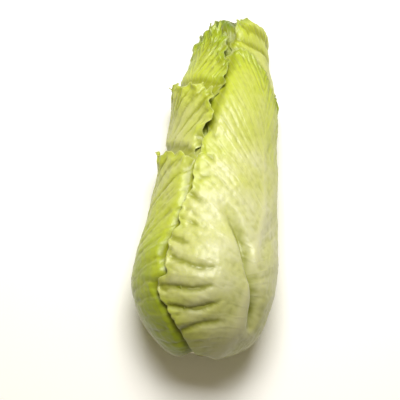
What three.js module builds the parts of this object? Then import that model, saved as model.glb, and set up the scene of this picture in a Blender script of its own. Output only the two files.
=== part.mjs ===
// Sugarloaf chicory head, cut from its root and lying on its side.
// Every leaf is its own thin closed shell. The leaves wrap one over another round a conical core stem,
// and a tight heart bud fills the middle. +Y runs from the cut stem to the leaf tips, +Z is up, and the
// head rests on z = 0 on the flattened side of its lowest leaf. Units are millimetres.
import * as THREE from "three";

// ---------- driving dimensions ----------
const BASE_CENTRE_Y = 62; // the rounded base end swells round this point of the centre line
const TIP_CENTRE_Y = 285; // the rounded tip end closes round this point
const STEM_HALF_ANGLE = 16; // degrees; the core stem fills this cone below the base centre
const BASE_RUN = 87; // length along the side from the leaf bases to the widest place
const TIP_RUN = 60; // length along the side from the tip centre's level to the very tip
const HEIGHT_SHARE = 0.93; // the lying head is a little lower than it is wide
const REST_DIP = 10; // how far the resting side is pressed flat
const REST_BLEND = 6; // softness of the turn from the pressed flat to the round side
const STEM_SWEEP = 4; // the cut stem sits this far to the +X side of the centre line
const CENTRE_X = 0.8; // moves the whole head so that its box is centred on the origin
const CENTRE_Y = -157.8;
const HEART_SIDES = 16;
const STEM_SIDES = 24;
const STEM_CUT_Y = 1.5; // the cut face lies just inside the leaf bases
const STEM_TOP_Y = 41;
const STEM_BEVEL = 0.8; // the knife leaves a slightly broken edge round the cut

const OUTER_PITCH = 0.034; // share of the radius from one outer leaf to the next one inside it
const INNER_PITCH = 0.036;
const INNER_SET_IN = 0.012; // extra room between the outer and the inner leaves
const BLADE = 0.0125; // leaf thickness as a share of the local radius
const RIB_RAISE = 2.4; // how far a free midrib stands out at the leaf base
const RIB_LENGTH = 210; // the raised part of the midrib dies out over this length
const STEM_GAP = 0.4;
const TIP_NARROWING = 0.38; // share of its width that a leaf loses by its tip
const TIP_ROUNDING = 75; // that narrowing happens over this last length
const BASE_WRAP_SHARE = 0.6; // share of its full wrap that a leaf has at its base
const OPENING_RUN = 110; // the wrap has grown to its full width by here

// Half-width of the head against the distance from the cut base, along the straight part and the tip.
const SIDE_RADII = [
  [62, 68.5], [85, 67.5], [105, 64], [135, 61], [165, 57.5], [195, 53.5], [225, 51], [250, 46.5], [285, 38],
];
// The same at the base, against degrees off the axis, and at the tip, against degrees past square to it.
const BASE_RADII = [[16, 64.8], [32, 67.2], [50, 67.8], [70, 67.2], [90, 68.5]];
const TIP_RADII = [[0, 38], [28, 36], [52, 42], [90, 38]];

// Places along the side where leaf meshes have a row, from the leaf base up.
const OUTER_ROWS = [0, 12, 26, 42, 62, 87, 122, 157, 187, 212, 240, 262, 283, 305, 318, 332, 346, 358];
const INNER_ROWS = [0, 26, 62, 87, 157, 212, 262, 305, 332, 352];
const OUTER_COLUMNS = 16;
const INNER_COLUMNS = 10;

// Outer leaves: where the midrib lies round the head (degrees, 0 = +X, 90 = up), how far the blade wraps to
// each side, where its tip ends, and its layer, 0 outermost. Two leaves that lie side by side share a layer.
// A free midrib is not covered by another leaf.
const OUTER_LEAVES = [
  { name: "outer_leaf_right", midrib: 39, wrap: 90, end: 305, layer: 0, freeRib: true },
  { name: "outer_leaf_left_low", midrib: 182, wrap: 48, end: 212, layer: 0, freeRib: true },
  { name: "outer_leaf_underside", midrib: 268, wrap: 62, end: 262, layer: 1, columns: 24 },
  { name: "outer_leaf_left_high", midrib: 171, wrap: 60, end: 283, layer: 2 },
  { name: "outer_leaf_right_under", midrib: 306, wrap: 72, end: 305, layer: 3 },
  { name: "outer_leaf_crest", midrib: 138, wrap: 74, end: 318, layer: 4 },
  { name: "outer_leaf_right_tall", midrib: 24, wrap: 82, end: 346, layer: 5 },
  { name: "outer_leaf_back_tall", midrib: 236, wrap: 82, end: 346, layer: 6 },
];
const RESTING_LAYER = 1; // the layer whose outer side is pressed flat on z = 0
const TUCK_RUN = 60; // past the tip of an outer leaf, the ones inside it move out within this length
const INNER_COUNT = 14;
const INNER_WRAP = 84;
const INNER_FIRST_MIDRIB = 95;
const INNER_END = 352;
const GOLDEN_ANGLE = 137.508;

const OUTER_LAYERS = 1 + Math.max(...OUTER_LEAVES.map((leaf) => leaf.layer));
const HEART_INWARDS = OUTER_LAYERS * OUTER_PITCH + INNER_COUNT * INNER_PITCH + 2 * INNER_SET_IN;

// ---------- the head's own coordinates ----------
const radians = THREE.MathUtils.degToRad;
const smoothstep = THREE.MathUtils.smoothstep;

// A smooth curve through [place, value] pairs, read at one place.
function readCurve(pairs, place) {
  const last = pairs.length - 1;
  let i = 0;
  while (i < last - 1 && place > pairs[i + 1][0]) i += 1;
  const [x0, y0] = pairs[i];
  const [x1, y1] = pairs[i + 1];
  const slopeAt = (k) => {
    const a = pairs[Math.max(k - 1, 0)];
    const b = pairs[Math.min(k + 1, last)];
    return (b[1] - a[1]) / (b[0] - a[0]);
  };
  const h = x1 - x0;
  const t = THREE.MathUtils.clamp((place - x0) / h, 0, 1);
  const t2 = t * t;
  const t3 = t2 * t;
  return (
    (2 * t3 - 3 * t2 + 1) * y0 + (t3 - 2 * t2 + t) * h * slopeAt(i) +
    (3 * t2 - 2 * t3) * y1 + (t3 - t2) * h * slopeAt(i + 1)
  );
}

// Smaller of two lengths, rounded off where they are within REST_BLEND of each other.
function softMin(a, b) {
  const h = Math.max(REST_BLEND - Math.abs(a - b), 0) / REST_BLEND;
  return Math.min(a, b) - (h * h * REST_BLEND) / 4;
}

// For a run along the side: where on the centre line the ray starts, its angle off -Y, the half-width.
function station(run) {
  if (run < BASE_RUN) {
    const angle = STEM_HALF_ANGLE + (90 - STEM_HALF_ANGLE) * (run / BASE_RUN);
    return { y: BASE_CENTRE_Y, angle, radius: readCurve(BASE_RADII, angle) };
  }
  const y = BASE_CENTRE_Y + run - BASE_RUN;
  if (y < TIP_CENTRE_Y) return { y, angle: 90, radius: readCurve(SIDE_RADII, y) };
  const past = (90 * (y - TIP_CENTRE_Y)) / TIP_RUN;
  return { y: TIP_CENTRE_Y, angle: 90 + past, radius: readCurve(TIP_RADII, past) };
}

// Height of the centre line above the floor.
function centreHeight(y) {
  return HEIGHT_SHARE * readCurve(SIDE_RADII, y) - REST_DIP;
}

// The point at a turn round the head (degrees), a ray from the centre line, and a share of the way in.
function pointOnRay(turn, { y, angle, radius }, inwards, raise = 0) {
  const around = radians(turn);
  const off = radians(angle);
  const ray = new THREE.Vector3(
    Math.sin(off) * Math.cos(around),
    -Math.cos(off),
    Math.sin(off) * Math.sin(around),
  );
  const centre = new THREE.Vector3(0, y, centreHeight(y));
  const oval = 1 / Math.hypot(ray.x, ray.y, ray.z / HEIGHT_SHARE);
  let length = radius * oval;
  const pressed = 1 - RESTING_LAYER * OUTER_PITCH;
  if (ray.z < 0) length = softMin(length, centre.z / -ray.z / pressed);
  const p = centre.addScaledVector(ray, length * (1 - inwards) + raise);
  const towardsBase = Math.max(1 - p.y / BASE_CENTRE_Y, 0);
  p.x += STEM_SWEEP * towardsBase * towardsBase;
  if (Math.abs(p.z) < 1e-6) p.z = 0;
  return p.add(new THREE.Vector3(CENTRE_X, CENTRE_Y, 0));
}

const pointAt = (turn, run, inwards, raise) => pointOnRay(turn, station(run), inwards, raise);

// ---------- solids ----------
// A closed shell from an outer and an inner grid of points with the same rows and columns.
function shellGeometry(outer, inner) {
  const rows = outer.length;
  const columns = outer[0].length;
  const positions = [...outer.flat(), ...inner.flat()].flatMap((p) => p.toArray());
  const out = (r, c) => r * columns + c;
  const inn = (r, c) => rows * columns + r * columns + c;
  const faces = [];
  const quad = (a, b, c, d) => faces.push(a, b, c, a, c, d);
  for (let r = 0; r < rows - 1; r += 1) {
    for (let c = 0; c < columns - 1; c += 1) {
      quad(out(r, c), out(r + 1, c), out(r + 1, c + 1), out(r, c + 1));
      quad(inn(r, c), inn(r, c + 1), inn(r + 1, c + 1), inn(r + 1, c));
    }
    const end = columns - 1;
    quad(out(r, 0), inn(r, 0), inn(r + 1, 0), out(r + 1, 0));
    quad(out(r, end), out(r + 1, end), inn(r + 1, end), inn(r, end));
  }
  const top = rows - 1;
  for (let c = 0; c < columns - 1; c += 1) {
    quad(out(0, c), out(0, c + 1), inn(0, c + 1), inn(0, c));
    quad(out(top, c), inn(top, c), inn(top, c + 1), out(top, c + 1));
  }
  const geometry = new THREE.BufferGeometry();
  geometry.setAttribute("position", new THREE.Float32BufferAttribute(positions, 3));
  geometry.setIndex(faces);
  geometry.computeVertexNormals();
  return geometry;
}

// How far a blade wraps to each side at a run, narrow at the stem and rounded off towards the tip.
function wrapAt(wrap, end, run) {
  const opening = BASE_WRAP_SHARE + (1 - BASE_WRAP_SHARE) * smoothstep(run, 0, OPENING_RUN);
  const t = Math.max(run - (end - TIP_ROUNDING), 0) / TIP_ROUNDING;
  return wrap * opening * (1 - TIP_NARROWING * t * t);
}

// How far in, as a share of the radius, the outer leaves of the first few layers put what is inside them.
function layersAbove(layer, run) {
  let share = 0;
  for (let i = 0; i < layer; i += 1) {
    const end = Math.max(...OUTER_LEAVES.filter((leaf) => leaf.layer === i).map((leaf) => leaf.end));
    share += OUTER_PITCH * (1 - smoothstep(run, end, end + TUCK_RUN));
  }
  return share;
}

// inwards(run) is the leaf's share of the way in to the centre line.
function leafGeometry({ midrib, wrap, end, freeRib }, inwards, rowPlaces, columns) {
  const rows = rowPlaces.filter((run) => run <= end);
  const grid = (thickness) =>
    rows.map((run) =>
      Array.from({ length: columns + 1 }, (_, c) => {
        const across = (2 * c) / columns - 1;
        const turn = midrib + across * wrapAt(wrap, end, run);
        const ribbed = freeRib && thickness === 0 && c === columns / 2;
        const raise = ribbed ? RIB_RAISE * Math.max(1 - run / RIB_LENGTH, 0) : 0;
        return pointAt(turn, run, inwards(run) + thickness, raise);
      }),
    );
  return shellGeometry(grid(0), grid(BLADE));
}

// A closed body whose rings of points run from one pole to the other along the centre line.
function closedRings(rings, firstPole, lastPole) {
  const sides = rings[0].length;
  const positions = [firstPole, ...rings.flat(), lastPole].flatMap((p) => p.toArray());
  const at = (r, c) => 1 + r * sides + (c % sides);
  const lastIndex = 1 + rings.length * sides;
  const faces = [];
  for (let c = 0; c < sides; c += 1) {
    faces.push(0, at(0, c), at(0, c + 1));
    for (let r = 0; r < rings.length - 1; r += 1) {
      faces.push(at(r, c), at(r + 1, c), at(r + 1, c + 1));
      faces.push(at(r, c), at(r + 1, c + 1), at(r, c + 1));
    }
    faces.push(lastIndex, at(rings.length - 1, c + 1), at(rings.length - 1, c));
  }
  const geometry = new THREE.BufferGeometry();
  geometry.setAttribute("position", new THREE.Float32BufferAttribute(positions, 3));
  geometry.setIndex(faces);
  geometry.computeVertexNormals();
  return geometry;
}

const turns = (sides) => Array.from({ length: sides }, (_, i) => (360 * i) / sides);

// The tight bud of the smallest leaves, left whole: the same shape as the head, much further in.
function heartGeometry(inwards) {
  const stations = [
    ...[30, 60].map((angle) => ({ y: BASE_CENTRE_Y, angle, radius: readCurve(BASE_RADII, angle) })),
    ...[87, 140, 200, 260, 310, 330, 350].map(station),
  ];
  const rings = stations.map((s) => turns(HEART_SIDES).map((turn) => pointOnRay(turn, s, inwards)));
  const first = pointOnRay(0, { y: BASE_CENTRE_Y, angle: 0, radius: BASE_RADII[0][1] }, inwards);
  const last = pointOnRay(0, { y: TIP_CENTRE_Y, angle: 180, radius: TIP_RADII.at(-1)[1] }, inwards);
  return closedRings(rings, first, last);
}

// The share by which the oval cross-section shortens a ray, so that a true cone can be drawn with rays.
function ovalShare(turn, angle) {
  const around = radians(turn);
  const off = radians(angle);
  const upward = Math.sin(off) * Math.sin(around);
  return 1 / Math.hypot(Math.sin(off) * Math.cos(around), Math.cos(off), upward / HEIGHT_SHARE);
}

// The core stem: a cone that narrows into the head, with its cut face just inside the leaf bases.
function stemGeometry() {
  const slope = Math.tan(radians(STEM_HALF_ANGLE));
  const ringAt = (y, shrink = 0) => {
    const radius = (BASE_CENTRE_Y - y) * slope - STEM_GAP - shrink;
    const angle = THREE.MathUtils.radToDeg(Math.atan2(radius, BASE_CENTRE_Y - y));
    const length = Math.hypot(radius, BASE_CENTRE_Y - y);
    return turns(STEM_SIDES).map((turn) => {
      const s = { y: BASE_CENTRE_Y, angle, radius: length / ovalShare(turn, angle) };
      return pointOnRay(turn, s, 0);
    });
  };
  const rings = [
    ringAt(STEM_CUT_Y, STEM_BEVEL),
    ringAt(STEM_CUT_Y + STEM_BEVEL),
    ringAt(15),
    ringAt(28),
    ringAt(STEM_TOP_Y - 1),
    ringAt(STEM_TOP_Y, 1),
  ];
  const onAxis = (y) => pointOnRay(0, { y: BASE_CENTRE_Y, angle: 0, radius: BASE_CENTRE_Y - y }, 0);
  return closedRings(rings, onAxis(STEM_CUT_Y), onAxis(STEM_TOP_Y));
}

// ---------- materials and assembly ----------
const plain = (name, color, roughness) =>
  new THREE.MeshStandardMaterial({ name, color, roughness, metalness: 0 });
const OUTER_LEAF = plain("outer_leaf", 0xd3da86, 0.48);
const INNER_LEAF = plain("inner_leaf", 0xe9eaa6, 0.5);
const HEART = plain("heart", 0xf0ecb4, 0.5);
const STEM = plain("stem", 0xe4dcc0, 0.7);

const head = new THREE.Group();

function add(name, geometry, material) {
  const mesh = new THREE.Mesh(geometry, material);
  mesh.name = name;
  head.add(mesh);
}

for (const leaf of OUTER_LEAVES) {
  const inwards = (run) => layersAbove(leaf.layer, run);
  add(leaf.name, leafGeometry(leaf, inwards, OUTER_ROWS, leaf.columns ?? OUTER_COLUMNS), OUTER_LEAF);
}

for (let i = 0; i < INNER_COUNT; i += 1) {
  const leaf = { midrib: INNER_FIRST_MIDRIB + GOLDEN_ANGLE * i, wrap: INNER_WRAP, end: INNER_END };
  const inwards = (run) => layersAbove(OUTER_LAYERS, run) + INNER_SET_IN + i * INNER_PITCH;
  const name = `inner_leaf_${String(i + 1).padStart(2, "0")}`;
  add(name, leafGeometry(leaf, inwards, INNER_ROWS, INNER_COLUMNS), INNER_LEAF);
}

add("heart_bud", heartGeometry(HEART_INWARDS), HEART);
add("core_stem", stemGeometry(), STEM);

export default head;
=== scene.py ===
import math

import bpy
import numpy as np
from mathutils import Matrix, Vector


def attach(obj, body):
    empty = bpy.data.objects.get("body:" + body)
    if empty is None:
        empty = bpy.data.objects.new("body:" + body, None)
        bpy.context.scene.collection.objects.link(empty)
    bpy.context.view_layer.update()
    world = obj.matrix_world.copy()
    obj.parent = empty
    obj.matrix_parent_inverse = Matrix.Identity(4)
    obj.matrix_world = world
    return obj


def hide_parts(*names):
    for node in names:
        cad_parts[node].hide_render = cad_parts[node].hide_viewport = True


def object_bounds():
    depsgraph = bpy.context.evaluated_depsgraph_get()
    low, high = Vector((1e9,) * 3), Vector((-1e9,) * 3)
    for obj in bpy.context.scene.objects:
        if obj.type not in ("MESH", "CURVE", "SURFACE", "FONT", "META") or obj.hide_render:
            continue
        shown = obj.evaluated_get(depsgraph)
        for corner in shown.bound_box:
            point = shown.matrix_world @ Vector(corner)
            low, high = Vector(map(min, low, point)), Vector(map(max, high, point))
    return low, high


# A sugarloaf chicory head lying on its side: thin ruffled leaves wrapped one over another round a core stem.
# Lengths are millimetres until a mesh is made, and then metres.

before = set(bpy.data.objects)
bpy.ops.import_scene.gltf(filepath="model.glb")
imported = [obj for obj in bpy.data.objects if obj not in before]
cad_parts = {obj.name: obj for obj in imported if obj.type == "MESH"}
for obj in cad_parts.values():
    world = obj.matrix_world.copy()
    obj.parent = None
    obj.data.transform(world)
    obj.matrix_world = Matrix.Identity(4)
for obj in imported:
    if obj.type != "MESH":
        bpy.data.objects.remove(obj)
cadLow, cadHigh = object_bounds()
print("frame loaded,", len(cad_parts), "nodes")

metresPerMm = 0.001

# The head's own coordinates are a turn round it in degrees and a run along its side from the leaf bases.

headShape = {
    "baseCentre": 62.0,  # the round base end swells about this point of the centre line
    "tipCentre": 285.0,  # the round tip end closes about this one
    "stemAngle": 16.0,  # the leaf bases start this far off the axis
    "baseRun": 87.0,  # run from the leaf bases to the widest place
    "tipRun": 60.0,  # run from the tip centre's level to the very tip
    "heightShare": 0.93,  # the lying head is a little lower than wide
    "restDip": 10.0,  # how far the resting side is pressed flat
    "restBlend": 6.0,
    "stemSweep": 4.0,  # the cut stem sits this far to one side
    "baseOverhang": 2.6,  # the leaf bases reach this far past the zero of the runs
    "sideShift": 0.8,
    "side": [(62, 68.5), (85, 67.5), (105, 64), (135, 61), (165, 57.5), (195, 53.5), (225, 51), (250, 46.5),
             (285, 38)],
    "base": [(16, 64.8), (32, 67.2), (50, 67.8), (70, 67.2), (90, 68.5)],
    "tip": [(0, 38), (28, 36), (52, 42), (90, 38)],
}
headPlace = (headShape["sideShift"], cadLow.y / metresPerMm + headShape["baseOverhang"])


def smoothStep(low, high, x):
    # t runs from 0 at low to 1 at high, and the result is 3t^2 - 2t^3
    t = np.clip((x - low) / (high - low), 0, 1)
    return t * t * (3 - 2 * t)


def readCurve(pairs, at):
    # cubic through (place, value) pairs; the slope at each is that of the chord between its neighbours
    places, values = (np.array(column, float) for column in zip(*pairs))
    before = np.maximum(np.arange(len(places)) - 1, 0)
    after = np.minimum(np.arange(len(places)) + 1, len(places) - 1)
    slopes = (values[after] - values[before]) / (places[after] - places[before])
    i = np.clip(np.searchsorted(places, at, side="right") - 1, 0, len(places) - 2)
    h = places[i + 1] - places[i]
    t = np.clip((at - places[i]) / h, 0, 1)
    start = (2 * t**3 - 3 * t**2 + 1) * values[i] + (t**3 - 2 * t**2 + t) * h * slopes[i]
    return start + (3 * t**2 - 2 * t**3) * values[i + 1] + (t**3 - t**2) * h * slopes[i + 1]


def softMin(a, b, blend):
    # the smaller of two lengths, less blend * h^2 / 4, where h goes from 0 to 1 as they meet
    h = np.maximum(blend - np.abs(a - b), 0) / blend
    return np.minimum(a, b) - h * h * blend / 4


def stationAt(run):
    # where on the centre line the ray starts, its angle off the base end, and the half-width there
    s = headShape
    y = np.minimum(s["baseCentre"] + np.maximum(run - s["baseRun"], 0), s["tipCentre"])
    fromBase = s["stemAngle"] + (90 - s["stemAngle"]) * run / s["baseRun"]
    past = 90 * np.maximum(run - s["baseRun"] - s["tipCentre"] + s["baseCentre"], 0) / s["tipRun"]
    angle = np.where(run < s["baseRun"], fromBase, 90 + past)
    radius = np.where(past > 0, readCurve(s["tip"], past), readCurve(s["side"], y))
    return y, angle, np.where(run < s["baseRun"], readCurve(s["base"], angle), radius)


def girthPerDegree(run):
    # millimetres round the head for one degree of turn
    y, angle, radius = stationAt(run)
    return np.maximum(radius * np.sin(np.radians(angle)), 4) * math.pi / 180


def headPoint(turn, run, inwards, lift):
    # a ray from the centre line, cut to the oval and the floor, shortened by the share inwards, plus the
    # lift, which fades out close to the floor; nothing goes under it
    s = headShape
    y, angle, radius = stationAt(run)
    off, around = np.radians(angle), np.radians(turn)
    rayX, rayY, rayZ = np.sin(off) * np.cos(around), -np.cos(off), np.sin(off) * np.sin(around)
    centreZ = s["heightShare"] * readCurve(s["side"], y) - s["restDip"]
    length = radius / np.sqrt(rayX**2 + rayY**2 + (rayZ / s["heightShare"]) ** 2)
    toFloor = centreZ / np.maximum(-rayZ, 1e-3)
    length = np.where(rayZ < 0, softMin(length, toFloor, s["restBlend"]), length) * (1 - inwards)
    free = smoothStep(0, 12, centreZ + rayZ * length)
    length = length + lift * np.where(rayZ < 0, free, 1)
    px, py, pz = rayX * length, y + rayY * length, centreZ + rayZ * length
    towardsBase = np.maximum(1 - py / s["baseCentre"], 0)
    px = px + s["stemSweep"] * towardsBase**2
    return np.stack([px + headPlace[0], py + headPlace[1], np.maximum(pz, 0)], -1)


def flowNoise(x, y, seed):
    # each whole-number grid point has its own random slope; between them the slopes' planes are blended
    # with 6t^5 - 15t^4 + 10t^3, and the result lies between about -1 and 1
    size = 64
    angles = np.random.default_rng(seed).uniform(0, 2 * math.pi, (size, size))
    xi, yi = np.floor(x).astype(int), np.floor(y).astype(int)
    tx, ty = x - xi, y - yi
    corner = lambda i, j: (np.cos(angles[(xi + i) % size, (yi + j) % size]) * (tx - i)
                           + np.sin(angles[(xi + i) % size, (yi + j) % size]) * (ty - j))
    sx, sy = (t**3 * (t * (t * 6 - 15) + 10) for t in (tx, ty))
    low = corner(0, 0) * (1 - sx) + corner(1, 0) * sx
    high = corner(0, 1) * (1 - sx) + corner(1, 1) * sx
    return 1.5 * (low * (1 - sy) + high * sy)


def puffs(across, along, seed):
    # rounded pillows with sharp valleys between them: |sin| of the place across them, pushed about by noise
    slow = flowNoise(across * 0.6, along * 0.8, seed)
    quick = flowNoise(across * 1.4, along * 2, seed + 1)
    return np.abs(np.sin(math.pi * (across + 0.55 * slow + 0.25 * quick))) ** 0.7


# low and high are the two side margins as (run, turn) pairs, mid the midrib's turn, end the tip's run.
# drop is how far the tip's corners hang back from its middle, square how blunt it is.

leafDefaults = {
    "drop": 50.0,
    "square": 2.6,
    "tilt": 0.0,  # how much further the tip runs at the high margin than at the midrib
    "columns": 130,
    "rows": 170,
    "ribHeight": 2.6,
    "ribWidth": 9.0,
    "ribLength": 250.0,
    "foldHeight": 2.6,
    "foldPitch": 13.0,
    "foldReach": 30.0,
    "swell": 1.2,  # the height of the broad folds between the side veins
    "veinRise": -0.4,  # a vein's slope at the base, and how much it grows with each millimetre of run
    "veinGrowth": 0.010,
    "ruffle": 2.4,
    "ruffleReach": 9.0,
    "scallop": 5.0,
    "curl": 0.6,
    "roll": 3.0,  # how far the very edge turns out in places
    "lowFrill": 1.0,  # share of the frills that the low side keeps
    "flare": 1.5,  # how far the tip stands out
    "ribSwing": 0.0,  # degrees that the midrib is off its line at the leaf base
    "gathers": [],  # long valleys across the blade, each as (turn, run) places and a depth
    "thickness": 0.7,
    "baseThickness": 1.2,  # fleshy leaf bases are this much thicker
    "tone": 0.3,
    "tipTone": 0.3,
    "marginTone": 0.3,
}

outerLeaves = [
    {"node": "outer_leaf_right", "mid": 40, "end": 299, "drop": 58, "square": 2, "tilt": 60, "seed": 11,
     "low": [(0, -34), (60, -46), (110, -52), (220, -46), (307, -36)],
     "high": [(0, 106), (60, 123), (75, 130), (90, 121), (108, 127), (130, 121), (160, 115), (190, 115),
              (220, 109), (250, 116), (310, 110)],
     "gathers": [{"path": [(64, 50), (92, 42), (120, 31)], "depth": 3.0},
                 {"path": [(72, 69), (96, 56), (123, 57)], "depth": 4.6},
                 {"path": [(78, 85), (96, 75), (120, 76)], "depth": 4.0},
                 {"path": [(76, 98), (96, 95), (122, 103)], "depth": 2.4},
                 {"path": [(98, 112), (126, 120)], "depth": 2.4},
                 {"path": [(92, 128), (122, 140)], "depth": 2.2},
                 {"path": [(96, 150), (118, 164)], "depth": 1.8}],
     "veinRise": -0.75, "veinGrowth": 0.012, "tone": 0.12, "tipTone": 0.34, "foldHeight": 1.9, "swell": 1.4,
     "scallop": 3.0, "lowFrill": 0.15, "flare": 0.0, "ribSwing": 14, "columns": 200, "rows": 210},
    {"node": "outer_leaf_left_low", "mid": 184, "end": 206, "drop": 12, "square": 4, "seed": 23,
     "low": [(0, 98), (60, 110), (108, 114), (190, 108), (214, 112)],
     "high": [(0, 222), (60, 238), (110, 244), (160, 238), (214, 228)],
     "tone": 0.62, "tipTone": -0.36, "foldHeight": 3.8, "ruffle": 3.4},
    {"node": "outer_leaf_underside", "mid": 268, "end": 262, "seed": 37,
     "low": [(0, 230), (60, 212), (110, 206), (262, 214)],
     "high": [(0, 316), (60, 326), (110, 330), (262, 322)], "tone": 0.35, "columns": 110, "rows": 140},
    {"node": "outer_leaf_left_high", "mid": 176, "end": 272, "drop": 10, "square": 3, "tilt": -6, "seed": 41,
     "low": [(0, 112), (100, 118), (160, 120), (200, 118), (214, 111), (228, 109), (240, 108), (262, 104),
             (286, 108)],
     "high": [(0, 205), (100, 228), (200, 234), (286, 224)],
     "tone": 0.0, "tipTone": 0.3, "foldHeight": 3.8, "ruffle": 4.2, "ribHeight": 1.5, "scallop": 6.5},
    {"node": "outer_leaf_right_under", "mid": 306, "end": 305, "seed": 53,
     "low": [(0, 262), (60, 242), (110, 234), (305, 246)],
     "high": [(0, 350), (60, 370), (110, 378), (305, 366)], "tone": 0.3, "ruffle": 0.6, "roll": 0.4,
     "scallop": 2.0, "columns": 110, "rows": 150},
    {"node": "outer_leaf_crest", "mid": 146, "end": 340, "drop": 12, "seed": 67,
     "low": [(0, 95), (60, 80), (110, 84), (190, 102), (214, 114), (246, 114), (268, 104), (300, 97),
             (324, 102)],
     "high": [(0, 186), (60, 206), (110, 212), (240, 208), (322, 190)],
     "tone": 0.12, "tipTone": 0.46, "foldHeight": 3.8, "ruffle": 4.4, "scallop": 6, "flare": 2.5},
    {"node": "outer_leaf_right_tall", "mid": 26, "end": 362, "drop": 6, "square": 4, "seed": 71,
     "low": [(0, -25), (60, -48), (110, -58), (300, -58), (356, -60)],
     "high": [(0, 75), (60, 98), (110, 106), (300, 100), (356, 88)],
     "gathers": [{"path": [(5, 310), (38, 322), (80, 328)], "depth": 2.8},
                 {"path": [(0, 326), (35, 337), (76, 341)], "depth": 2.2}],
     "tone": 0.12, "tipTone": 0.26, "foldHeight": 3.0, "swell": 2.4, "ruffle": 2.4},
    {"node": "outer_leaf_back_tall", "mid": 236, "end": 358, "drop": 20, "seed": 83,
     "low": [(0, 188), (60, 162), (110, 154), (300, 158), (352, 164)],
     "high": [(0, 286), (60, 310), (110, 318), (300, 314), (352, 308)], "tone": 0.4},
]

innerLeaves = {
    "count": 14,
    "firstMid": 95.0,
    "goldenAngle": 137.508,
    "wrap": 84.0,
    "end": 365.0,
    "columns": 66,
    "rows": 90,
    "hiddenFrom": 5,  # from this leaf on only the tips show, and a coarser grid will do
    "hiddenColumns": 40,
    "hiddenRows": 50,
    "tone": 0.62,
    "laterTone": 0.2,
    "ruffle": 4.5,  # of the first one, and less on each one after
    "flare": 4.0,
    "scallop": 6.0,
    "drop": 16.0,
    "firstSeed": 101,
    "seedStep": 7,
}

wrapping = {
    "outerPitch": 0.034,  # share of the ray that one leaf lies inside the next
    "innerPitch": 0.036,
    "fade": 10.0,  # past a covering leaf's margin, the leaf under it comes out over this length
    "margin": 2.0,
    "crossing": ["outer_leaf_left_high", "outer_leaf_crest"],
    "crossRun": 222.0,  # above this run the crossing leaves lie over the right one, and under it below
    "crossBlend": 16.0,
}


def makeLeafList():
    leaves = [{**leafDefaults, **leaf, "pitch": wrapping["outerPitch"]} for leaf in outerLeaves]
    v = innerLeaves
    for i in range(v["count"]):
        mid = v["firstMid"] + v["goldenAngle"] * i
        share = i / (v["count"] - 1)
        seen = i < v["hiddenFrom"]
        leaves.append({
            **leafDefaults, "node": f"inner_leaf_{i + 1:02d}", "mid": mid, "end": v["end"],
            "seed": v["firstSeed"] + v["seedStep"] * i,
            "low": [(0, mid - 0.6 * v["wrap"]), (110, mid - v["wrap"]), (357, mid - 0.8 * v["wrap"])],
            "high": [(0, mid + 0.6 * v["wrap"]), (110, mid + v["wrap"]), (357, mid + 0.8 * v["wrap"])],
            "tone": v["tone"] * (1 - share) + v["laterTone"] * share,
            "columns": v["columns"] if seen else v["hiddenColumns"],
            "rows": v["rows"] if seen else v["hiddenRows"],
            "pitch": wrapping["innerPitch"], "ruffle": v["ruffle"] * (1 - 0.7 * share),
            "scallop": v["scallop"], "drop": v["drop"], "flare": v["flare"] * (1 - share),
        })
    return leaves


def tipRunAt(leaf, u):
    # the run where a leaf ends at the place u across it: end - drop * |u|^square + tilt * u
    u = np.clip(u, -1, 1)
    return leaf["end"] - leaf["drop"] * np.abs(u) ** leaf["square"] + leaf["tilt"] * u


def turnFrom(turn, middle):
    # signed degrees from the middle, the short way round
    return (turn - middle + 180) % 360 - 180


def marginGap(leaf, turn, run):
    # millimetres from a point to the leaf's nearest margin, above 0 inside the leaf's outline
    girth = girthPerDegree(run)
    off = turnFrom(turn, leaf["mid"])
    lowReach = leaf["mid"] - readCurve(leaf["low"], run)
    highReach = readCurve(leaf["high"], run) - leaf["mid"]
    u = np.where(off < 0, off / lowReach, off / highReach)
    side = np.minimum((off + lowReach) * girth, (highReach - off) * girth)
    return np.minimum(side, tipRunAt(leaf, u) - run)


def coverOf(leaf, turn, run):
    # 1 under the leaf, and down to 0 over the fade length outside its margin
    gap = marginGap(leaf, turn, run) + wrapping["margin"]
    return smoothStep(-wrapping["fade"], 0, gap)


def coversOver(leaves, index, turn, run):
    # (leaf above, its cover) for each leaf that lies over this one; the crossing ones swap on the way up
    names = [leaf["node"] for leaf in leaves]
    right = names.index("outer_leaf_right")
    crossing = [names.index(name) for name in wrapping["crossing"]]
    half = wrapping["crossBlend"] / 2
    crossed = smoothStep(wrapping["crossRun"] - half, wrapping["crossRun"] + half, run)
    found = []
    for above in range(index):
        swapped = crossed if above == right and index in crossing else 0
        found.append((leaves[above], coverOf(leaves[above], turn, run) * (1 - swapped)))
    if index == right:
        found += [(leaves[above], coverOf(leaves[above], turn, run) * crossed) for above in crossing]
    return found


headForm = {
    "pullIn": 2.8,  # room left under the outline for folds and frills
    "humps": [  # lift, turn, run, and how far it reaches in turn and in run
        (3.0, 92, 90, 34, 46),  # the swelling belly
        (3.0, 25, 338, 50, 16),  # the blunt corner at the right of the tip
        (5.0, 170, 272, 32, 30),  # crumpled leaves stand out at the left
        (-4.0, 8, 88, 34, 36),  # flatter beside the midrib
        (3.5, 16, 2, 50, 13),  # the base stays full to its corners
        (5.2, 163, 6, 46, 16),
        (2.8, 92, 0, 40, 13),
    ],
    "creaseDepth": 10.5,
    "creaseWidth": 5.0,
    "creaseSlope": 1.7,  # how many times wider its far side is
    # the crease's line as (run, turn) pairs
    "crease": [(45, 37), (60, 40), (75, 44), (91, 50), (106, 56), (126, 64), (145, 75), (165, 88)],
    "creaseStart": (36, 62),  # it deepens over these runs and dies out over the next ones
    "creaseEnd": (120, 165),
    "sway": 1.3,
    "swayLength": 42.0,
    "swayRadius": 60.0,  # about the head's own radius, so that the sway is as long round it as along it
}


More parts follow.
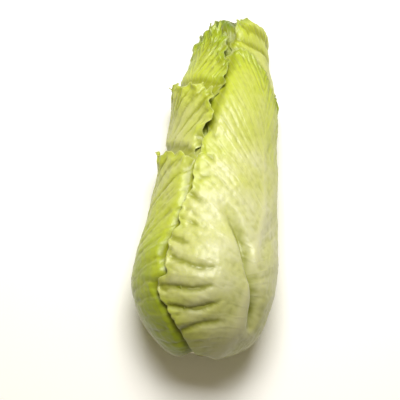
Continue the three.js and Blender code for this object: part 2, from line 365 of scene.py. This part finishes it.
def creaseAt(turn, run):
    # 1 at the bottom of the long crease: exp(-(d / width)^2) of the distance d from its line
    f = headForm
    across = turnFrom(turn, readCurve(f["crease"], run)) * girthPerDegree(run)
    window = smoothStep(*f["creaseStart"], run) * (1 - smoothStep(*f["creaseEnd"], run))
    width = np.where(across > 0, f["creaseWidth"], f["creaseSlope"] * f["creaseWidth"])
    return window * np.exp(-(across / width) ** 2)


def hump(turn, run, middleTurn, middleRun, width, length):
    # exp(-(turn / width)^2 - (run / length)^2), both measured from its middle
    return np.exp(-(turnFrom(turn, middleTurn) / width) ** 2 - ((run - middleRun) / length) ** 2)


def formLift(turn, run):
    # what every leaf follows: the humps and a slow sway, less the long crease and the room for folds
    f = headForm
    humps = sum(height * hump(turn, run, *place) for height, *place in f["humps"])
    around = np.radians(turn)
    radius = f["swayRadius"] / f["swayLength"]
    sway = flowNoise(np.cos(around) * radius + 9.3, np.sin(around) * radius + run / f["swayLength"] + 5.1, 5)
    return humps + f["sway"] * sway - f["creaseDepth"] * creaseAt(turn, run) - f["pullIn"]


gatherForm = {"width": 4.0, "sharpness": 1.3, "fade": 20.0}  # the fade is in degrees, from the low end on


def gatherDepth(gathers, turn, run):
    # sharp valleys along each path: depth * exp(-(d / width)^sharpness) of the distance d along the run
    f = gatherForm
    depth = 0 * run
    for gather in gathers:
        path = gather["path"]
        away = np.abs(run - readCurve(path, turn))
        window = smoothStep(path[0][0], path[0][0] + f["fade"], turn)
        depth = depth + gather["depth"] * window * np.exp(-(away / f["width"]) ** f["sharpness"])
    return depth


blade = {
    "lastRun": 368.0,  # no leaf goes past this run
    "notchRuns": (20, 60),  # the low and high end of the stretch over which each of these starts
    "frillRuns": (20, 70),
    "foldRuns": (0, 30),
    "swingRuns": (60, 175),
    "thickRuns": (0, 45),
    # the painted shade at the base end fades out over these runs
    "baseShadeRuns": (25, 150),
    "rollWidth": 3.2,
    "flareLength": 38.0,
    "thinEdge": 6.0,  # the blade thins out over this distance from its edge
    "ribThickness": 1.6,
    "rimWidth": 1.0,  # the very edge is thin and pale
    "rimShare": 0.28,
    "marginWidth": 11.0,  # the green of the margins fades out over this distance
}


def leafFields(leaves, index):
    # The leaf on a grid: u from -1 to 1 across it, v from 0 to 1 up it. Each column ends at its own tip run.
    f = blade
    leaf = leaves[index]
    u = np.linspace(-1, 1, leaf["columns"])[None, :]
    v = np.linspace(0, 1, leaf["rows"])[:, None]
    seed = leaf["seed"]
    wavy = flowNoise(u * 6, u * 0 + 0.5, seed) + 0.5 * flowNoise(u * 15, u * 0 + 8.5, seed)
    frilly = leaf["lowFrill"] + (1 - leaf["lowFrill"]) * smoothStep(-0.3, 0.5, u)
    tipRun = np.minimum(tipRunAt(leaf, u) + leaf["scallop"] * wavy * frilly, f["lastRun"])
    run = v * tipRun
    girth = girthPerDegree(run)
    side = u * 0 + 3.5 + np.sign(u)
    nibble = flowNoise(run / 14, side, seed + 1) + 0.5 * flowNoise(run / 6, side, seed + 2)
    notch = leaf["scallop"] * nibble * frilly / girth
    low = readCurve(leaf["low"], run) - notch * smoothStep(*f["notchRuns"], run)
    high = readCurve(leaf["high"], run) + notch * smoothStep(*f["notchRuns"], run)
    turn = leaf["mid"] + np.where(u < 0, u * (leaf["mid"] - low), u * (high - leaf["mid"]))
    swing = leaf["ribSwing"] * (1 - smoothStep(*f["swingRuns"], run))
    x = (turn - leaf["mid"] - swing) * girth
    edge = softMin((1 - np.abs(u)) * np.where(u < 0, leaf["mid"] - low, high - leaf["mid"]) * girth,
                   (1 - v) * tipRun + 0 * u, 8)
    edge = np.maximum(edge, 0)
    veins = (run - leaf["veinRise"] * np.abs(x)) / (1 + leaf["veinGrowth"] * np.abs(x))

    covers = coversOver(leaves, index, turn, run)
    inwards = sum((above["pitch"] * cover for above, cover in covers), 0 * run)
    bare = np.prod([1 - cover for above, cover in covers], axis=0) if covers else 1 + 0 * run

    grow = smoothStep(*f["foldRuns"], run)
    towardsMargin = 0.18 + 0.82 * np.exp(-edge / leaf["foldReach"])
    along = np.abs(x) / 46 + np.sign(x) * 7.3
    patch = 0.6 + 0.4 * flowNoise(x / 30 + 3, run / 34, seed + 2)
    folds = puffs(veins / leaf["foldPitch"], along, seed + 3)
    fine = puffs(veins / leaf["foldPitch"] * 2.3, along * 1.7, seed + 5)
    broad = 0.5 + 0.5 * flowNoise(veins / 24 + 2, along * 0.6, seed + 6)
    fold = leaf["foldHeight"] * towardsMargin * patch * (folds + 0.35 * fine) + leaf["swell"] * broad
    fold = fold * grow - gatherDepth(leaf["gathers"], turn, run)

    ribWidth = 2.5 + (leaf["ribWidth"] - 2.5) * np.clip(1 - run / leaf["ribLength"], 0, 1) ** 1.3
    rib = np.exp(-(x / ribWidth) ** 2) * np.clip(1 - run / leaf["ribLength"], 0, 1)
    frill = np.exp(-edge / leaf["ruffleReach"])
    wave = 0.5 + 0.8 * flowNoise(x / 8 + 5, run / 8, seed + 7)
    patchy = np.clip(flowNoise(x / 16 + 2, run / 16, seed + 10) + 0.2, 0, 1)
    rolled = leaf["roll"] * np.exp(-edge / f["rollWidth"]) * patchy
    flare = leaf["flare"] * smoothStep(-f["flareLength"], 0, run - tipRun)
    flare = flare * (0.6 + 0.6 * flowNoise(x / 16, run / 30, seed + 11))
    starting = smoothStep(*f["frillRuns"], run)
    ruffle = (frill * (leaf["ruffle"] * np.clip(wave, 0, 1.2) + leaf["curl"]) + rolled) * starting
    ruffle = ruffle * frilly + flare

    small = 0.35 * flowNoise(x / 5, run / 5, seed + 9) * (1 - 0.8 * rib)
    own = (fold * (1 - 0.9 * rib) + leaf["ribHeight"] * rib * (0.3 + 0.7 * bare)) + small
    lift = own * bare + ruffle * (0.15 + 0.85 * bare)
    sideways = frill * 2.2 * flowNoise(x / 9, run / 9 + 4, seed + 8) * bare * starting
    placed = turn + sideways / girth
    form = formLift(turn, run) * (1 - inwards)
    thickness = leaf["thickness"] * (0.35 + 0.65 * smoothStep(0, f["thinEdge"], edge))
    thickness = thickness + f["ribThickness"] * rib * (1 - inwards)
    thickness = thickness + leaf["baseThickness"] * (1 - smoothStep(*f["thickRuns"], run)) * (1 - inwards)
    points = headPoint(placed, run, inwards, lift + form)
    inner = headPoint(placed, run, inwards, lift + form - thickness)
    rim = f["rimShare"] * np.exp(-edge / f["rimWidth"])
    # painted shade: a deeper green in the valleys of the folds, under the leaves that cover this one and
    # along the crease, where the pale rib and rim are also taken out
    creased = creaseAt(turn, run) ** 2
    shadeAmount = hollowOf(lift) + 0.7 * (1 - bare) + 1.3 * creased
    pale = np.clip(rib * 1.2 + rim, 0, 1) * (1 - 0.9 * creased)

    green = leaf["tone"] + leaf["tipTone"] * smoothStep(0.45, 1, v)
    green = green + leaf["marginTone"] * np.exp(-edge / f["marginWidth"])
    green = green + 0.10 * flowNoise(x / 24, run / 24, seed + 12)
    return {
        "outer": points, "inner": inner, "x": x, "veins": veins,
        "green": np.clip(green, 0, 1), "rib": pale, "hollow": np.clip(shadeAmount, 0, 1),
        # painted shade: 1 at the leaf bases, fading out up the run
        "base": 1 - smoothStep(*f["baseShadeRuns"], run) + 0 * u,
    }


def hollowOf(lift):
    # how far a point lies under the mean of the lifts round it, as a share of a millimetre; the leaves use it
    # for painted shade in the valleys of their folds
    mean = lift
    for reach in (1, 2, 4):
        mean = sum(np.roll(mean, (i * reach, j * reach), (0, 1)) for i in (-1, 0, 1) for j in (-1, 0, 1)) / 9
    return (mean - lift) / 0.9


def shellFaces(rows, columns):
    # quads over the outer grid, over the inner grid the other way round, and round the rim between the two
    index = np.arange(rows * columns).reshape(rows, columns)
    count = rows * columns
    outer = np.stack([index[:-1, :-1], index[1:, :-1], index[1:, 1:], index[:-1, 1:]], -1).reshape(-1, 4)
    inner = outer[:, ::-1] + count
    ring = np.concatenate([index[0, :], index[1:, -1], index[-1, -2::-1], index[-2:0:-1, 0]])
    after = np.roll(ring, -1)
    rim = np.stack([ring, after, after + count, ring + count], -1)
    return np.concatenate([outer, inner, rim])


def putMesh(name, points, faceGroups, material, fields, uv=None):
    # points in millimetres; a face group has a row of corner numbers for each face, and a field has a
    # number for each point
    corners = np.concatenate([group.ravel() for group in faceGroups]).astype(np.int32)
    sizes = np.concatenate([np.full(len(group), group.shape[1]) for group in faceGroups])
    mesh = bpy.data.meshes.new(name)
    mesh.vertices.add(len(points))
    mesh.vertices.foreach_set("co", (points * metresPerMm).astype(np.float32).ravel())
    mesh.loops.add(len(corners))
    mesh.loops.foreach_set("vertex_index", corners)
    mesh.polygons.add(len(sizes))
    mesh.polygons.foreach_set("loop_start", (np.cumsum(sizes) - sizes).astype(np.int32))
    mesh.polygons.foreach_set("use_smooth", np.ones(len(sizes), bool))
    for key, values in fields.items():
        layer = mesh.attributes.new(key, "FLOAT", "POINT")
        layer.data.foreach_set("value", values.astype(np.float32).ravel())
    if uv is not None:
        layer = mesh.uv_layers.new(name="leafMap")
        layer.data.foreach_set("uv", uv[corners].astype(np.float32).ravel())
    mesh.update(calc_edges=True)
    mesh.materials.append(material)
    piece = bpy.data.objects.new(name, mesh)
    bpy.context.scene.collection.objects.link(piece)
    return piece


def standFor(piece, node):
    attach(piece, "root")
    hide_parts(node)


def makeLeaf(leaves, index, material):
    leaf = leaves[index]
    made = leafFields(leaves, index)
    rows, columns = made["x"].shape
    points = np.concatenate([made["outer"].reshape(-1, 3), made["inner"].reshape(-1, 3)])
    twice = lambda field: np.concatenate([field.ravel(), field.ravel()])
    uv = np.stack([twice(made["x"]), twice(made["veins"])], -1) / 100
    fields = {"leaf" + key.capitalize(): twice(made[key]) for key in ("green", "rib", "hollow", "base")}
    return putMesh(leaf["node"] + "_blade", points, [shellFaces(rows, columns)], material, fields, uv)


def linear(red, green, blue):
    # display values 0 to 255 as the linear colour that a shader takes
    shares = [c / 255 for c in (red, green, blue)]
    return tuple(c / 12.92 if c <= 0.04045 else ((c + 0.055) / 1.055) ** 2.4 for c in shares) + (1,)


def addNode(tree, kind, settings=None, inputs=None):
    made = tree.nodes.new("ShaderNode" + kind)
    for key, value in (settings or {}).items():
        setattr(made, key, value)
    for key, value in (inputs or {}).items():
        if isinstance(value, bpy.types.NodeSocket):
            tree.links.new(value, made.inputs[key])
        else:
            made.inputs[key].default_value = value
    return made


def newMaterial(name):
    material = bpy.data.materials.new(name)
    material.use_nodes = True
    tree = material.node_tree
    tree.nodes.clear()
    shader = addNode(tree, "BsdfPrincipled")
    output = addNode(tree, "OutputMaterial")
    tree.links.new(shader.outputs[0], output.inputs[0])
    return material, tree, shader


def mixColour(tree, share, first, second, blend="MIX"):
    mix = addNode(tree, "Mix", {"data_type": "RGBA", "blend_type": blend})
    for socket, value in ((0, share), (6, first), (7, second)):
        if isinstance(value, bpy.types.NodeSocket):
            tree.links.new(value, mix.inputs[socket])
        else:
            mix.inputs[socket].default_value = value
    return mix.outputs[2]


def calculate(tree, operation, first, second, third=0.0, clamp=False):
    values = {0: first, 1: second, 2: third}
    return addNode(tree, "Math", {"operation": operation, "use_clamp": clamp}, values).outputs[0]


def ramp(tree, share, stops):
    made = addNode(tree, "ValToRGB", None, {"Fac": share})
    elements = made.color_ramp.elements
    while len(elements) < len(stops):
        elements.new(0.5)
    for element, (place, colour) in zip(elements, stops):
        element.position = place
        element.color = colour
    return made.outputs[0]


leafFinish = {
    "cream": linear(206, 206, 168),
    "pale": linear(196, 200, 122),
    "yellowGreen": linear(184, 196, 62),
    "green": linear(152, 172, 22),
    "deepGreen": linear(108, 130, 10),
    # the painted shade colour, for fold valleys, the crease and leaf parts under other leaves
    "hollow": linear(134, 140, 14),
    # painted shade towards the base end: this colour is multiplied in over the lower runs
    "base": linear(160, 158, 104),
    "baseShadeShare": 0.5,  # painted shade: the colour is darkened towards the base end by this share
    "roughness": 0.38,
    "subsurface": 0.22,
    "subsurfaceDepth": 0.004,
    "subsurfaceTint": (1.0, 0.9, 0.25),
    "specular": 0.42,
    "mottleScale": 55.0,
    "mottleAmount": 0.30,
    "paintedShadeShare": 0.75,
    "veinScale": 3.1,
    "netScale": 17.0,
    "netShare": 0.28,
    "paleVeins": 0.10,
    "veinRelief": 0.35,
    "grainScale": 420.0,
    "grainRelief": 0.35,
    "bumpHeight": 0.0006,
    "glossRange": 0.22,
}


def makeLeafMaterial():
    v = leafFinish
    material, tree, shader = newMaterial("chicoryLeaf")
    green = addNode(tree, "Attribute", {"attribute_name": "leafGreen"}).outputs["Fac"]
    rib = addNode(tree, "Attribute", {"attribute_name": "leafRib"}).outputs["Fac"]
    hollow = addNode(tree, "Attribute", {"attribute_name": "leafHollow"}).outputs["Fac"]
    base = addNode(tree, "Attribute", {"attribute_name": "leafBase"}).outputs["Fac"]
    place = addNode(tree, "TexCoord").outputs["Object"]
    leafMap = addNode(tree, "UVMap", {"uv_map": "leafMap"}).outputs["UV"]

    mottle = addNode(tree, "TexNoise", None,
                     {"Vector": place, "Scale": v["mottleScale"], "Detail": 3.0}).outputs["Fac"]
    mottled = calculate(tree, "MULTIPLY_ADD", mottle, v["mottleAmount"], -v["mottleAmount"] / 2)
    shade = calculate(tree, "ADD", green, mottled, clamp=True)
    colour = ramp(tree, shade, [(0.0, v["cream"]), (0.22, v["pale"]), (0.5, v["yellowGreen"]),
                                (0.78, v["green"]), (1.0, v["deepGreen"])])
    # painted shade: the colour goes towards the shade colour in fold valleys, along the crease and under
    # covering leaves
    shadeAmount = calculate(tree, "MULTIPLY", hollow, v["paintedShadeShare"])
    colour = mixColour(tree, shadeAmount, colour, v["hollow"])

    # side veins run along lines of equal height on the leaf's own map, and a net of small cells lies between
    veinBands = addNode(tree, "TexWave", {"bands_direction": "Y", "wave_profile": "SIN"},
                        {"Vector": leafMap, "Scale": v["veinScale"], "Distortion": 2.2, "Detail": 2.0,
                         "Detail Scale": 1.6}).outputs["Fac"]
    veinLine = ramp(tree, veinBands, [(0.86, (0, 0, 0, 1)), (1.0, (1, 1, 1, 1))])
    cells = addNode(tree, "TexVoronoi", {"feature": "DISTANCE_TO_EDGE"},
                    {"Vector": leafMap, "Scale": v["netScale"]}).outputs["Distance"]
    net = ramp(tree, cells, [(0.0, (1, 1, 1, 1)), (0.10, (0, 0, 0, 1))])
    lines = mixColour(tree, v["netShare"], veinLine, net, "ADD")
    paleShare = calculate(tree, "MULTIPLY", lines, v["paleVeins"])
    colour = mixColour(tree, paleShare, colour, v["cream"])
    colour = mixColour(tree, rib, colour, v["cream"])
    # painted shade: darker towards the base end
    baseShade = calculate(tree, "MULTIPLY", base, v["baseShadeShare"])
    colour = mixColour(tree, baseShade, colour, v["base"], "MULTIPLY")

    relief = calculate(tree, "MULTIPLY", lines, v["veinRelief"])
    grain = addNode(tree, "TexNoise", None,
                    {"Vector": place, "Scale": v["grainScale"], "Detail": 4.0}).outputs["Fac"]
    height = calculate(tree, "ADD", relief, calculate(tree, "MULTIPLY", grain, v["grainRelief"]))
    bump = addNode(tree, "Bump", None,
                   {"Strength": 0.5, "Distance": v["bumpHeight"], "Height": height}).outputs[0]
    gloss = calculate(tree, "MULTIPLY_ADD", mottle, v["glossRange"], v["roughness"] - v["glossRange"] / 2)
    tree.links.new(colour, shader.inputs["Base Color"])
    tree.links.new(gloss, shader.inputs["Roughness"])
    tree.links.new(bump, shader.inputs["Normal"])
    shader.inputs["Subsurface Weight"].default_value = v["subsurface"]
    shader.inputs["Subsurface Radius"].default_value = v["subsurfaceTint"]
    shader.inputs["Subsurface Scale"].default_value = v["subsurfaceDepth"]
    shader.inputs["Specular IOR Level"].default_value = v["specular"]
    return material


stemFinish = {"flesh": linear(240, 234, 206), "ring": linear(214, 196, 146), "edge": linear(188, 160, 104)}


def makeStemMaterial():
    v = stemFinish
    material, tree, shader = newMaterial("cutStem")
    depth = addNode(tree, "Attribute", {"attribute_name": "cutShare"}).outputs["Fac"]
    place = addNode(tree, "TexCoord").outputs["Object"]
    speck = addNode(tree, "TexNoise", None, {"Vector": place, "Scale": 700.0, "Detail": 4.0}).outputs["Fac"]
    wander = calculate(tree, "MULTIPLY_ADD", speck, 0.16, -0.08)
    share = calculate(tree, "ADD", depth, wander, clamp=True)
    colour = ramp(tree, share, [(0.0, v["flesh"]), (0.55, v["flesh"]), (0.68, v["ring"]), (0.78, v["flesh"]),
                                (0.95, v["edge"])])
    bump = addNode(tree, "Bump", None, {"Strength": 0.6, "Distance": 0.0005, "Height": speck}).outputs[0]
    tree.links.new(colour, shader.inputs["Base Color"])
    tree.links.new(bump, shader.inputs["Normal"])
    shader.inputs["Roughness"].default_value = 0.5
    return material


def tubeFaces(rows, columns):
    # quads between rings that close on themselves, and a fan to a pole at each end; the poles come last
    index = np.arange(rows * columns).reshape(rows, columns)
    after = np.roll(index, -1, 1)
    quads = np.stack([index[:-1], index[1:], after[1:], after[:-1]], -1).reshape(-1, 4)
    nearPole, farPole = np.full(columns, rows * columns), np.full(columns, rows * columns + 1)
    nearFan = np.stack([nearPole, index[0], after[0]], -1)
    farFan = np.stack([farPole, after[-1], index[-1]], -1)
    return [quads, nearFan, farFan]


def withPoles(grid):
    # the grid's points as one list, and after them the middle of its first and of its last ring
    return np.concatenate([grid.reshape(-1, 3), [grid[0].mean(0), grid[-1].mean(0)]])


heart = {
    "rings": 70,
    "sides": 96,
    "runs": (4.0, 369.5),  # it starts and ends just inside the leaf bases and the tip
    "inwards": 0.80,
    "folds": 7,
    "foldHeight": 1.1,
    "foldLean": 28.0,  # the folds wind one radian further for each of these lengths
    "foldRuns": (20, 80),
    "green": 0.15,
}


def makeHeart(material):
    # the head's own shape much further in, with folds |sin| that wind round it as it rises
    v = heart
    run = np.linspace(*v["runs"], v["rings"])[:, None] + np.zeros((1, v["sides"]))
    turn = np.arange(v["sides"])[None, :] * 360 / v["sides"] + np.zeros((v["rings"], 1))
    wind = np.radians(v["folds"] * turn) + run / v["foldLean"]
    lift = v["foldHeight"] * np.abs(np.sin(wind / 2)) * smoothStep(*v["foldRuns"], run)
    points = withPoles(headPoint(turn, run, v["inwards"] + 0 * run, lift))
    none = np.zeros(len(points))
    fields = {"leafGreen": none + v["green"], "leafRib": none, "leafHollow": none, "leafBase": none}
    uv = np.concatenate([np.stack([turn.ravel(), run.ravel()], -1) / 100, np.zeros((2, 2))])
    return putMesh("heart_bud_folds", points, tubeFaces(v["rings"], v["sides"]), material, fields, uv)


stem = {
    "faceRings": 16,
    "coneRings": 12,
    "sides": 96,
    "cut": 1.5,  # the cut face lies this far inside the leaf bases
    "length": 39.0,
    "overlap": 0.5,  # the leaf bases grow out of the cone, so it reaches a little into them
    "roughCut": 0.5,
}


def makeStem(material):
    # rings from the middle of the cut face to its edge, then along the cone that the leaf bases stand on:
    # its radius is (baseCentre - y) * tan(stemAngle)
    v, s = stem, headShape
    share = np.concatenate([np.linspace(0.04, 1, v["faceRings"]), np.ones(v["coneRings"])])[:, None]
    back = np.concatenate([np.zeros(v["faceRings"]), np.linspace(0.03, 1, v["coneRings"])])[:, None]
    around = np.arange(v["sides"])[None, :] * 2 * math.pi / v["sides"]
    y = v["cut"] + back * v["length"]
    radius = share * ((s["baseCentre"] - y) * math.tan(math.radians(s["stemAngle"])) + v["overlap"])
    centreZ = s["heightShare"] * s["side"][0][1] - s["restDip"]
    x = radius * np.cos(around) + s["stemSweep"] * (1 - y / s["baseCentre"]) ** 2 + headPlace[0]
    z = radius * np.sin(around) + centreZ
    rough = v["roughCut"] * (flowNoise(x / 2.4, z / 2.4, 301) + flowNoise(x / 7, z / 7, 302)) * (back == 0)
    points = withPoles(np.stack([x, y + rough + headPlace[1], z], -1))
    cut = np.concatenate([(share + 0 * around).ravel(), [0, 1]])
    faces = tubeFaces(v["faceRings"] + v["coneRings"], v["sides"])
    return putMesh("core_stem_cut", points, faces, material, {"cutShare": cut})


stage = {
    "floor": linear(252, 252, 252),
    "floorGrain": linear(250, 250, 250),
    "floorHalf": 6.0,
    "worldStrength": 0.22,
    "worldColour": (1.0, 0.84, 0.5, 1),  # warm, as light that came off the leaves and the floor
    "keyPower": 20.0,
    "keyPlace": (-0.02, 0.5, 1.16),
    "keySize": 0.6,
    "keyColour": (1.0, 0.985, 0.95),
    "fillPower": 0.5,
    "fillPlace": (0.9, -0.4, 0.9),
    "fillSize": 0.8,
    "fillColour": (0.96, 0.98, 1.0),
}

cameraView = {
    "azimuth": 7.0,
    "elevation": 78.0,
    "distance": 0.95,
    "lens": 91.5,
    "target": (-0.014, -0.015, 0.045),
}


def makeStage():
    v = stage
    half = v["floorHalf"]
    corners = np.array([(-half, -half, 0), (half, -half, 0), (half, half, 0), (-half, half, 0)]) / metresPerMm
    material, tree, shader = newMaterial("paleFloor")
    place = addNode(tree, "TexCoord").outputs["Object"]
    grain = addNode(tree, "TexNoise", None, {"Vector": place, "Scale": 300.0}).outputs["Fac"]
    tone = ramp(tree, grain, [(0.0, v["floorGrain"]), (1.0, v["floor"])])
    tree.links.new(tone, shader.inputs["Base Color"])
    shader.inputs["Roughness"].default_value = 0.6
    floor = putMesh("pale_floor", corners, [np.array([[0, 1, 2, 3]])], material, {})


def aimAt(thing, place, target):
    # turns a light or camera so that its own -Z axis runs from its place to the target
    thing.location = place
    away = Vector(target) - Vector(place)
    thing.rotation_mode = "QUATERNION"
    thing.rotation_quaternion = away.to_track_quat("-Z", "Y")


def addAreaLight(name, power, size, place, colour):
    data = bpy.data.lights.new(name, "AREA")
    data.energy = power
    data.size = size
    data.color = colour
    light = bpy.data.objects.new(name, data)
    bpy.context.scene.collection.objects.link(light)
    aimAt(light, place, (0, 0, 0.05))


def makeLights():
    v = stage
    world = bpy.data.worlds.new("studio")
    bpy.context.scene.world = world
    world.use_nodes = True
    background = world.node_tree.nodes["Background"]
    background.inputs[0].default_value = v["worldColour"]
    background.inputs[1].default_value = v["worldStrength"]
    addAreaLight("key", v["keyPower"], v["keySize"], v["keyPlace"], v["keyColour"])
    addAreaLight("fill", v["fillPower"], v["fillSize"], v["fillPlace"], v["fillColour"])


def makeCamera():
    # stands off from the target by the azimuth and elevation, and looks back at it
    v = cameraView
    turnBy, rise = math.radians(v["azimuth"]), math.radians(v["elevation"])
    back = Vector((math.sin(turnBy) * math.cos(rise), -math.cos(turnBy) * math.cos(rise), math.sin(rise)))
    data = bpy.data.cameras.new("camera")
    data.lens = v["lens"]
    camera = bpy.data.objects.new("camera", data)
    bpy.context.scene.collection.objects.link(camera)
    aimAt(camera, Vector(v["target"]) + back * v["distance"], v["target"])
    bpy.context.scene.camera = camera


makeCamera()
makeLights()
makeStage()
bpy.context.scene.view_settings.view_transform = "Standard"
print("stage set")

leafMaterial = makeLeafMaterial()
stemMaterial = makeStemMaterial()

leafList = makeLeafList()
for number, leaf in enumerate(leafList):
    piece = makeLeaf(leafList, number, leafMaterial)
    standFor(piece, leaf["node"])
print("leaves made:", len(leafList))

standFor(makeHeart(leafMaterial), "heart_bud")
standFor(makeStem(stemMaterial), "core_stem")
print("heart and stem made")
